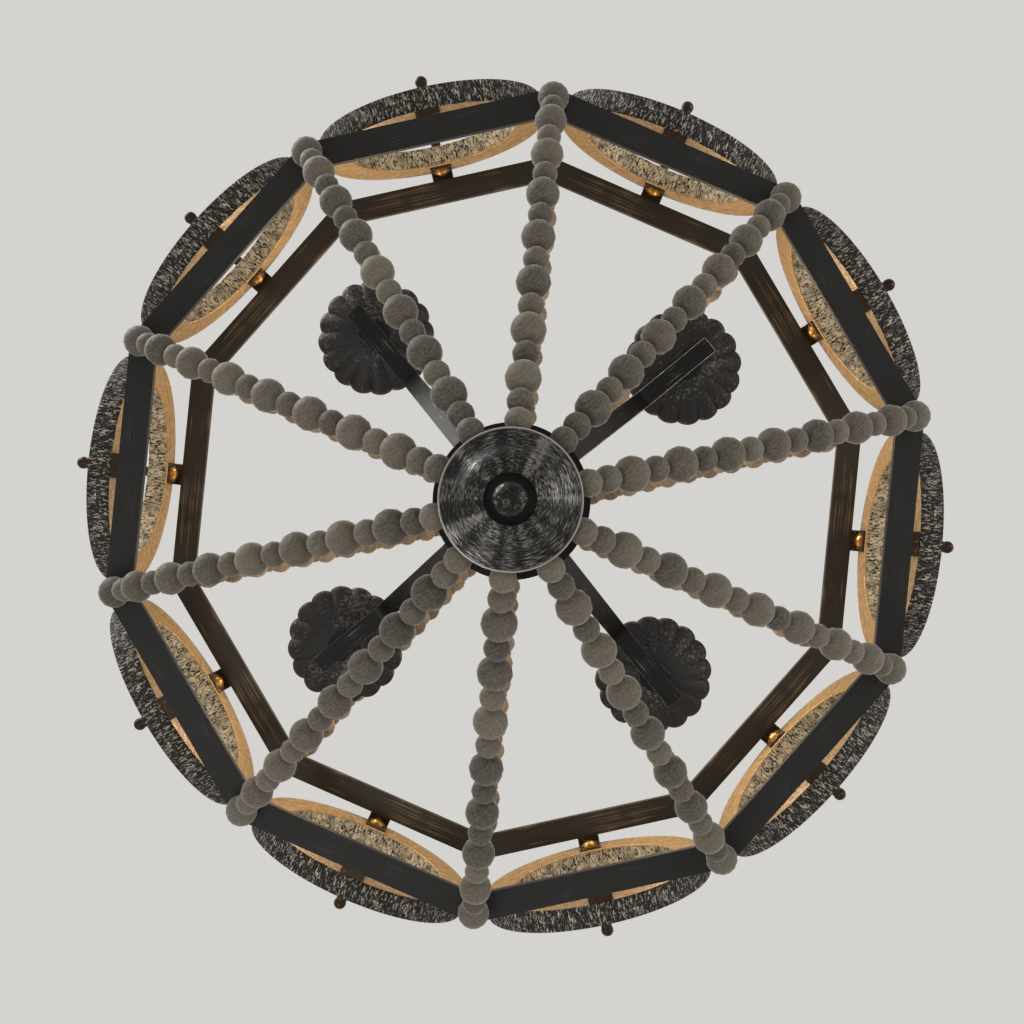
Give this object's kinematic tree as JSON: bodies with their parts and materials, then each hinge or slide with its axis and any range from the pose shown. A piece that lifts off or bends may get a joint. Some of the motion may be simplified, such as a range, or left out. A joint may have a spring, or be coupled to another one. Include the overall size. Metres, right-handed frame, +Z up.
{
  "type": "beaded ring chandelier",
  "caption": "Ten-sided drum chandelier of upright wooden rings between two flat-bar frames, hung on bead strands, with candle lights on bent arms inside.",
  "frame": {"origin": "centre of the ceiling crossbar's upper face, on the fixture's axis, where it meets the ceiling", "axes": "+Z up along the fixture's axis; +X along the crossbar and through the middle of ring_01; +Y completes the right-handed frame"},
  "size_m": [0.6834, 0.6856, 1.1378],
  "materials": {
    "dark_iron": "satin black with rubbed silver edges",
    "frame_iron": "brushed dark bronze",
    "aged_brass": "antique",
    "steel_wire": "plain drawn wire",
    "ring_wood": "crackled silver and black paint, gold inner face",
    "bead_wood": "weathered grey brown",
    "socket_black": "moulded",
    "sleeve_black": "matt",
    "bulb_glass": "clear"
  },
  "bodies": {
    "ceiling_mounting": {"ceiling_crossbar": "dark_iron", "canopy": "dark_iron", "canopy_loop": "dark_iron"},
    "collar": {"collar_ring": "dark_iron"},
    "link_1": {"chain_link_1": "dark_iron"},
    "link_2": {"chain_link_2": "dark_iron"},
    "link_3": {"chain_link_3": "dark_iron"},
    "fixture": {"top_loop": "dark_iron", "crown": "dark_iron", "centre_stem": "dark_iron", "stem_nuts": "dark_iron", "upper_strands": "bead_wood", "upper_strand_wires": "steel_wire", "upper_frame": "frame_iron", "ring_01": "ring_wood", "ring_02": "ring_wood", "ring_03": "ring_wood", "ring_04": "ring_wood", "ring_05": "ring_wood", "ring_06": "ring_wood", "ring_07": "ring_wood", "ring_08": "ring_wood", "ring_09": "ring_wood", "ring_10": "ring_wood", "upper_ring_brackets": "frame_iron", "lower_ring_brackets": "frame_iron", "bracket_screws": "aged_brass", "ball_nuts": "frame_iron", "lower_frame": "frame_iron", "lower_strand_01": "bead_wood", "lower_strand_02": "bead_wood", "lower_strand_03": "bead_wood", "lower_strand_04": "bead_wood", "lower_strand_05": "bead_wood", "lower_strand_06": "bead_wood", "lower_strand_07": "bead_wood", "lower_strand_08": "bead_wood", "lower_strand_09": "bead_wood", "lower_strand_10": "bead_wood", "lower_strand_wires": "steel_wire", "hub_plate": "dark_iron", "arm_1": "dark_iron", "arm_2": "dark_iron", "arm_3": "dark_iron", "arm_4": "dark_iron", "arm_screws": "dark_iron", "pan_1": "dark_iron", "pan_2": "dark_iron", "pan_3": "dark_iron", "pan_4": "dark_iron", "pan_discs": "dark_iron", "sockets": "socket_black", "candle_sleeves": "sleeve_black", "strand_plate": "dark_iron", "bottom_bowl": "dark_iron"},
    "finial_ball": {"finial": "dark_iron"},
    "lamp_1": {"bulb_1": "bulb_glass"},
    "lamp_2": {"bulb_2": "bulb_glass"},
    "lamp_3": {"bulb_3": "bulb_glass"},
    "lamp_4": {"bulb_4": "bulb_glass"}
  },
  "joints": [
    {"name": "collar_turn", "type": "hinge", "parent": "ceiling_mounting", "child": "collar", "pos_m": [0, 0, -0.031], "axis": [0, 0, 1], "continuous": true},
    {"name": "link_1_swing", "type": "hinge", "parent": "ceiling_mounting", "child": "link_1", "pos_m": [0, 0, -0.0662], "axis": [1, 0, 0], "range_deg": [-35, 35]},
    {"name": "link_2_swing", "type": "hinge", "parent": "link_1", "child": "link_2", "pos_m": [0, 0, -0.0969], "axis": [0, 1, 0], "range_deg": [-35, 35]},
    {"name": "link_3_swing", "type": "hinge", "parent": "link_2", "child": "link_3", "pos_m": [0, 0, -0.1276], "axis": [1, 0, 0], "range_deg": [-35, 35]},
    {"name": "fixture_swing", "type": "hinge", "parent": "link_3", "child": "fixture", "pos_m": [0, 0, -0.1603], "axis": [0, 1, 0], "range_deg": [-35, 35]},
    {"name": "finial_turn", "type": "hinge", "parent": "fixture", "child": "finial_ball", "pos_m": [0, 0, -1.1273], "axis": [0, 0, 1], "continuous": true},
    {"name": "bulb_1_turn", "type": "hinge", "parent": "fixture", "child": "lamp_1", "pos_m": [0.12516, 0.12516, -0.7594], "axis": [0, 0, 1], "continuous": true},
    {"name": "bulb_2_turn", "type": "hinge", "parent": "fixture", "child": "lamp_2", "pos_m": [-0.12516, 0.12516, -0.7594], "axis": [0, 0, 1], "continuous": true},
    {"name": "bulb_3_turn", "type": "hinge", "parent": "fixture", "child": "lamp_3", "pos_m": [-0.12516, -0.12516, -0.7594], "axis": [0, 0, 1], "continuous": true},
    {"name": "bulb_4_turn", "type": "hinge", "parent": "fixture", "child": "lamp_4", "pos_m": [0.12516, -0.12516, -0.7594], "axis": [0, 0, 1], "continuous": true}
  ]
}
